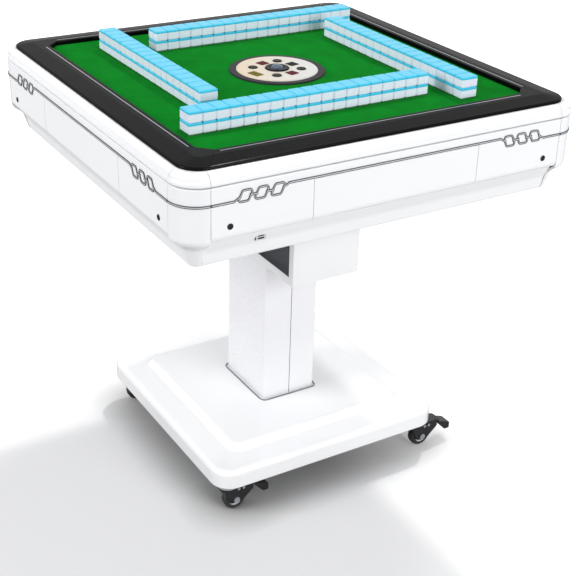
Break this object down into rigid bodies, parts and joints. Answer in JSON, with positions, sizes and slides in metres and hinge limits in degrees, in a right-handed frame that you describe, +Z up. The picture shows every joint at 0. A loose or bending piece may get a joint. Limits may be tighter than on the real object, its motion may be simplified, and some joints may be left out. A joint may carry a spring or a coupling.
{
  "type": "automatic mahjong table",
  "caption": "Square automatic mahjong table: black-rimmed head with rising tile walls and centre disc, folding on a column over a castered base.",
  "frame": {"origin": "on the floor under the middle of the table", "axes": "+X along the front side to the right, +Y towards the back, +Z up"},
  "size_m": [0.8288, 0.8288, 0.8528],
  "materials": {
    "casing_white": "gloss",
    "base_white": "gloss",
    "column_grey": "gloss",
    "trough_white": "satin",
    "steel": "brushed",
    "collar_grey": "polished",
    "rim_black": "satin",
    "bright_inlay": "polished",
    "trim_grey": "polished",
    "black_fittings": "matte",
    "board_wood": "raw",
    "green_cloth": "felt",
    "bowl_plastic": "matte",
    "motor_paint": "satin",
    "circuit_green": "matte",
    "ring_dark": "satin",
    "disc_ivory": "satin",
    "bezel_black": "gloss",
    "dome_clear": "clear",
    "dice_white": "gloss",
    "window_red": "gloss",
    "caster_black": "satin",
    "caster_tyre": "matte",
    "drawer_white": "gloss",
    "lift_green": "matte",
    "tile_blue": "gloss",
    "button_black": "gloss"
  },
  "bodies": {
    "base": {"base_cover": "base_white", "base_plate": "steel", "column_post": "steel", "column_shell_left": "column_grey", "column_shell_right": "column_grey", "column_collar": "collar_grey", "fold_trough": "trough_white", "fold_hinge_pin": "steel", "caster_mounts": "steel"},
    "head": {"pivot_plate": "trough_white", "head_tray": "casing_white", "casing_panels": "casing_white", "top_ring": "casing_white", "rim_rails": "rim_black", "rim_corners": "rim_black", "rim_inlays": "bright_inlay", "chain_trims": "trim_grey", "sockets_and_plugs": "black_fittings", "table_board": "board_wood", "playing_felt": "green_cloth", "chassis_frame": "steel", "shuffle_bowl": "bowl_plastic", "drive_motor": "motor_paint", "control_board": "circuit_green", "disc_surround": "ring_dark"},
    "caster_fork_front_left": {"caster_fork_front_left": "caster_black"},
    "caster_wheel_front_left": {"caster_wheel_front_left": "caster_tyre"},
    "caster_brake_front_left": {"caster_brake_front_left": "caster_black"},
    "caster_fork_front_right": {"caster_fork_front_right": "caster_black"},
    "caster_wheel_front_right": {"caster_wheel_front_right": "caster_tyre"},
    "caster_brake_front_right": {"caster_brake_front_right": "caster_black"},
    "caster_fork_back_left": {"caster_fork_back_left": "caster_black"},
    "caster_wheel_back_left": {"caster_wheel_back_left": "caster_tyre"},
    "caster_brake_back_left": {"caster_brake_back_left": "caster_black"},
    "caster_fork_back_right": {"caster_fork_back_right": "caster_black"},
    "caster_wheel_back_right": {"caster_wheel_back_right": "caster_tyre"},
    "caster_brake_back_right": {"caster_brake_back_right": "caster_black"},
    "drawer_front": {"chip_drawer_front": "drawer_white"},
    "drawer_right": {"chip_drawer_right": "drawer_white"},
    "drawer_back": {"chip_drawer_back": "drawer_white"},
    "drawer_left": {"chip_drawer_left": "drawer_white"},
    "lift_front": {"tile_lift_front": "lift_green", "tile_wall_front": "tile_blue"},
    "lift_right": {"tile_lift_right": "lift_green", "tile_wall_right": "tile_blue"},
    "lift_back": {"tile_lift_back": "lift_green", "tile_wall_back": "tile_blue"},
    "lift_left": {"tile_lift_left": "lift_green", "tile_wall_left": "tile_blue"},
    "disc": {"control_disc": "disc_ivory", "dice_bezel": "bezel_black", "dice_dome": "dome_clear", "dice": "dice_white", "indicator_windows": "window_red"},
    "dice_button_1": {"dice_button_1": "button_black"},
    "dice_button_2": {"dice_button_2": "button_black"},
    "dice_button_3": {"dice_button_3": "button_black"},
    "dice_button_4": {"dice_button_4": "button_black"},
    "turntable": {"turntable": "bowl_plastic"}
  },
  "joints": [
    {"name": "fold", "type": "hinge", "parent": "base", "child": "head", "pos_m": [0.087, 0, 0.625], "axis": [0, 1, 0], "range_deg": [0, 90]},
    {"name": "swivel_front_left", "type": "hinge", "parent": "base", "child": "caster_fork_front_left", "pos_m": [-0.231, -0.231, 0.055], "axis": [0, 0, 1], "continuous": true},
    {"name": "roll_front_left", "type": "hinge", "parent": "caster_fork_front_left", "child": "caster_wheel_front_left", "pos_m": [-0.217, -0.231, 0.024], "axis": [0, 1, 0], "continuous": true},
    {"name": "brake_front_left", "type": "hinge", "parent": "caster_fork_front_left", "child": "caster_brake_front_left", "pos_m": [-0.181, -0.231, 0.0467], "axis": [0, 1, 0], "range_deg": [0, 18]},
    {"name": "swivel_front_right", "type": "hinge", "parent": "base", "child": "caster_fork_front_right", "pos_m": [0.231, -0.231, 0.055], "axis": [0, 0, 1], "continuous": true},
    {"name": "roll_front_right", "type": "hinge", "parent": "caster_fork_front_right", "child": "caster_wheel_front_right", "pos_m": [0.245, -0.231, 0.024], "axis": [0, 1, 0], "continuous": true},
    {"name": "brake_front_right", "type": "hinge", "parent": "caster_fork_front_right", "child": "caster_brake_front_right", "pos_m": [0.281, -0.231, 0.0467], "axis": [0, 1, 0], "range_deg": [0, 18]},
    {"name": "swivel_back_left", "type": "hinge", "parent": "base", "child": "caster_fork_back_left", "pos_m": [-0.231, 0.231, 0.055], "axis": [0, 0, 1], "continuous": true},
    {"name": "roll_back_left", "type": "hinge", "parent": "caster_fork_back_left", "child": "caster_wheel_back_left", "pos_m": [-0.217, 0.231, 0.024], "axis": [0, 1, 0], "continuous": true},
    {"name": "brake_back_left", "type": "hinge", "parent": "caster_fork_back_left", "child": "caster_brake_back_left", "pos_m": [-0.181, 0.231, 0.0467], "axis": [0, 1, 0], "range_deg": [0, 18]},
    {"name": "swivel_back_right", "type": "hinge", "parent": "base", "child": "caster_fork_back_right", "pos_m": [0.231, 0.231, 0.055], "axis": [0, 0, 1], "continuous": true},
    {"name": "roll_back_right", "type": "hinge", "parent": "caster_fork_back_right", "child": "caster_wheel_back_right", "pos_m": [0.245, 0.231, 0.024], "axis": [0, 1, 0], "continuous": true},
    {"name": "brake_back_right", "type": "hinge", "parent": "caster_fork_back_right", "child": "caster_brake_back_right", "pos_m": [0.281, 0.231, 0.0467], "axis": [0, 1, 0], "range_deg": [0, 18]},
    {"name": "drawer_front", "type": "slide", "parent": "head", "child": "drawer_front", "axis": [0, -1, 0], "range_m": [0, 0.09]},
    {"name": "drawer_right", "type": "slide", "parent": "head", "child": "drawer_right", "axis": [1, 0, 0], "range_m": [0, 0.09]},
    {"name": "drawer_back", "type": "slide", "parent": "head", "child": "drawer_back", "axis": [0, 1, 0], "range_m": [0, 0.09]},
    {"name": "drawer_left", "type": "slide", "parent": "head", "child": "drawer_left", "axis": [-1, 0, 0], "range_m": [0, 0.09]},
    {"name": "lift_front", "type": "slide", "parent": "head", "child": "lift_front", "axis": [0, 0, 1], "range_m": [-0.043, 0]},
    {"name": "lift_right", "type": "slide", "parent": "head", "child": "lift_right", "axis": [0, 0, 1], "range_m": [-0.043, 0]},
    {"name": "lift_back", "type": "slide", "parent": "head", "child": "lift_back", "axis": [0, 0, 1], "range_m": [-0.043, 0]},
    {"name": "lift_left", "type": "slide", "parent": "head", "child": "lift_left", "axis": [0, 0, 1], "range_m": [-0.043, 0]},
    {"name": "disc_lift", "type": "slide", "parent": "head", "child": "disc", "axis": [0, 0, 1], "range_m": [0, 0.045]},
    {"name": "press_1", "type": "slide", "parent": "disc", "child": "dice_button_1", "axis": [0, 0, 1], "range_m": [-0.0025, 0], "stiffness_N_per_m": 400, "springref_m": 0.002},
    {"name": "press_2", "type": "slide", "parent": "disc", "child": "dice_button_2", "axis": [0, 0, 1], "range_m": [-0.0025, 0], "stiffness_N_per_m": 400, "springref_m": 0.002},
    {"name": "press_3", "type": "slide", "parent": "disc", "child": "dice_button_3", "axis": [0, 0, 1], "range_m": [-0.0025, 0], "stiffness_N_per_m": 400, "springref_m": 0.002},
    {"name": "press_4", "type": "slide", "parent": "disc", "child": "dice_button_4", "axis": [0, 0, 1], "range_m": [-0.0025, 0], "stiffness_N_per_m": 400, "springref_m": 0.002},
    {"name": "shuffle", "type": "hinge", "parent": "head", "child": "turntable", "pos_m": [0, 0, 0.695], "axis": [0, 0, 1], "continuous": true}
  ],
  "couplings": [
    {"joint": "lift_right", "follows": "lift_front", "ratio": 1},
    {"joint": "lift_back", "follows": "lift_front", "ratio": 1},
    {"joint": "lift_left", "follows": "lift_front", "ratio": 1}
  ]
}
